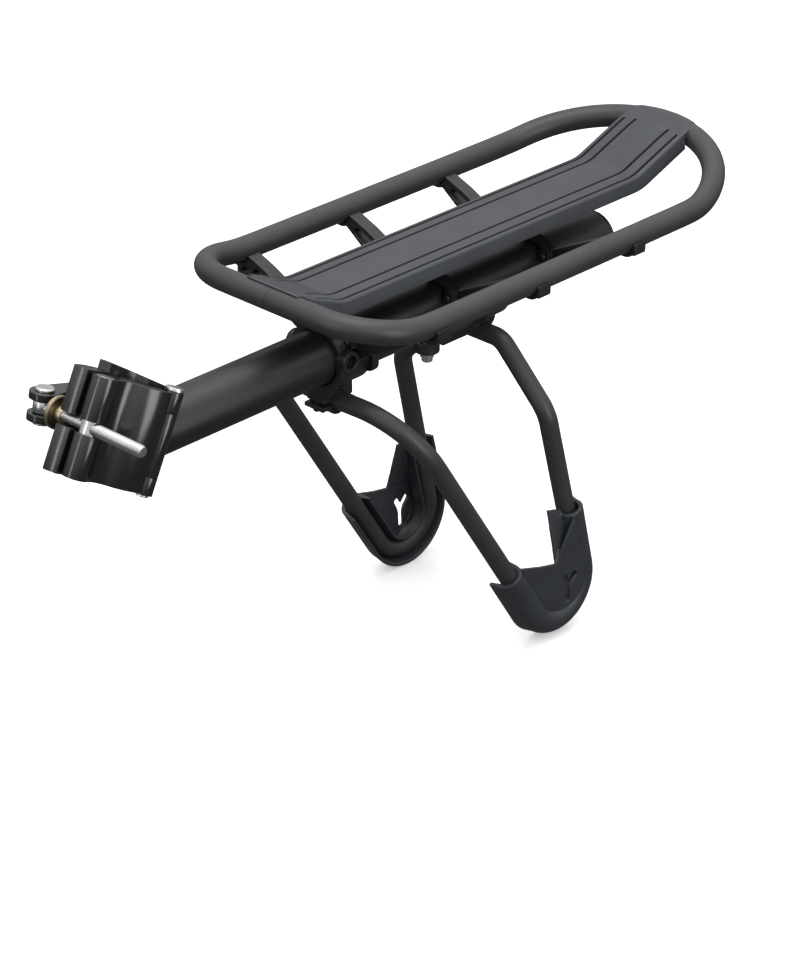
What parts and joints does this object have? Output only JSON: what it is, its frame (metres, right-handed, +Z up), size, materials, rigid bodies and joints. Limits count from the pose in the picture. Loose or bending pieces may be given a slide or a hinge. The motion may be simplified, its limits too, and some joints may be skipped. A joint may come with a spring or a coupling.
{
  "type": "bicycle rear rack",
  "caption": "Seat-post rear rack with a quick-release clamp, tubular deck with a centre plate, V-shaped cross members and two side legs with foot covers.",
  "frame": {"origin": "centre of the seat-post bore, half way up the clamp", "axes": "+X to the rear along the beam, +Y to the bicycle's right, +Z up"},
  "size_m": [0.5705, 0.192, 0.3079],
  "materials": {
    "powder_coat": "matt",
    "beam_black": "satin",
    "plate_plastic": "satin",
    "black_plastic": "satin",
    "anodised": "gloss",
    "black_steel": "satin",
    "zinc_steel": "satin",
    "bronze": "satin"
  },
  "bodies": {
    "frame": {"beam_tube": "beam_black", "beam_end_cap": "black_plastic", "deck_loop": "powder_coat", "deck_plate": "plate_plastic", "cross_member_front": "black_plastic", "member_screw_front_left": "black_steel", "member_screw_front_right": "black_steel", "cross_member_middle": "black_plastic", "member_screw_middle_left": "black_steel", "member_screw_middle_right": "black_steel", "cross_member_rear": "black_plastic", "member_screw_rear_left": "black_steel", "member_screw_rear_right": "black_steel", "rail_bolt_left": "zinc_steel", "collar_bolt_left": "black_steel", "leg_rod_left": "powder_coat", "foot_cover_left": "plate_plastic", "rail_bolt_right": "zinc_steel", "collar_bolt_right": "black_steel", "leg_rod_right": "powder_coat", "foot_cover_right": "plate_plastic", "collar_upper_saddle": "black_plastic", "collar_lower_band": "black_plastic", "front_leg_bracket": "black_plastic", "bracket_screw_front": "black_steel", "bracket_screw_rear": "black_steel", "rear_leg_saddle": "black_plastic", "saddle_screw_front": "zinc_steel", "saddle_screw_rear": "zinc_steel", "clamp_body": "anodised", "hinge_pin": "zinc_steel"},
    "jaw": {"clamp_jaw": "anodised"},
    "nut": {"barrel_nut": "zinc_steel"},
    "stud": {"clamp_stud": "zinc_steel", "bearing_cup": "bronze", "qr_washer": "bronze"},
    "lever": {"qr_lever": "anodised", "lever_pin": "zinc_steel"}
  },
  "joints": [
    {"name": "jaw_hinge", "type": "hinge", "parent": "frame", "child": "jaw", "pos_m": [0.00764, -0.021, -0.00373], "axis": [0.4384, 0, 0.8988], "range_deg": [0, 2]},
    {"name": "nut_swing", "type": "hinge", "parent": "jaw", "child": "nut", "pos_m": [-0.03343, -0.0067, 0.01631], "axis": [0.4384, 0, 0.8988], "range_deg": [0, 28]},
    {"name": "stud_turn", "type": "hinge", "parent": "nut", "child": "stud", "pos_m": [-0.03343, 0, 0.01631], "axis": [0, 1, 0], "continuous": true},
    {"name": "lever_hinge", "type": "hinge", "parent": "stud", "child": "lever", "pos_m": [-0.03343, 0.036, 0.01631], "axis": [0.2079, 0, 0.9781], "range_deg": [0, 150]}
  ]
}
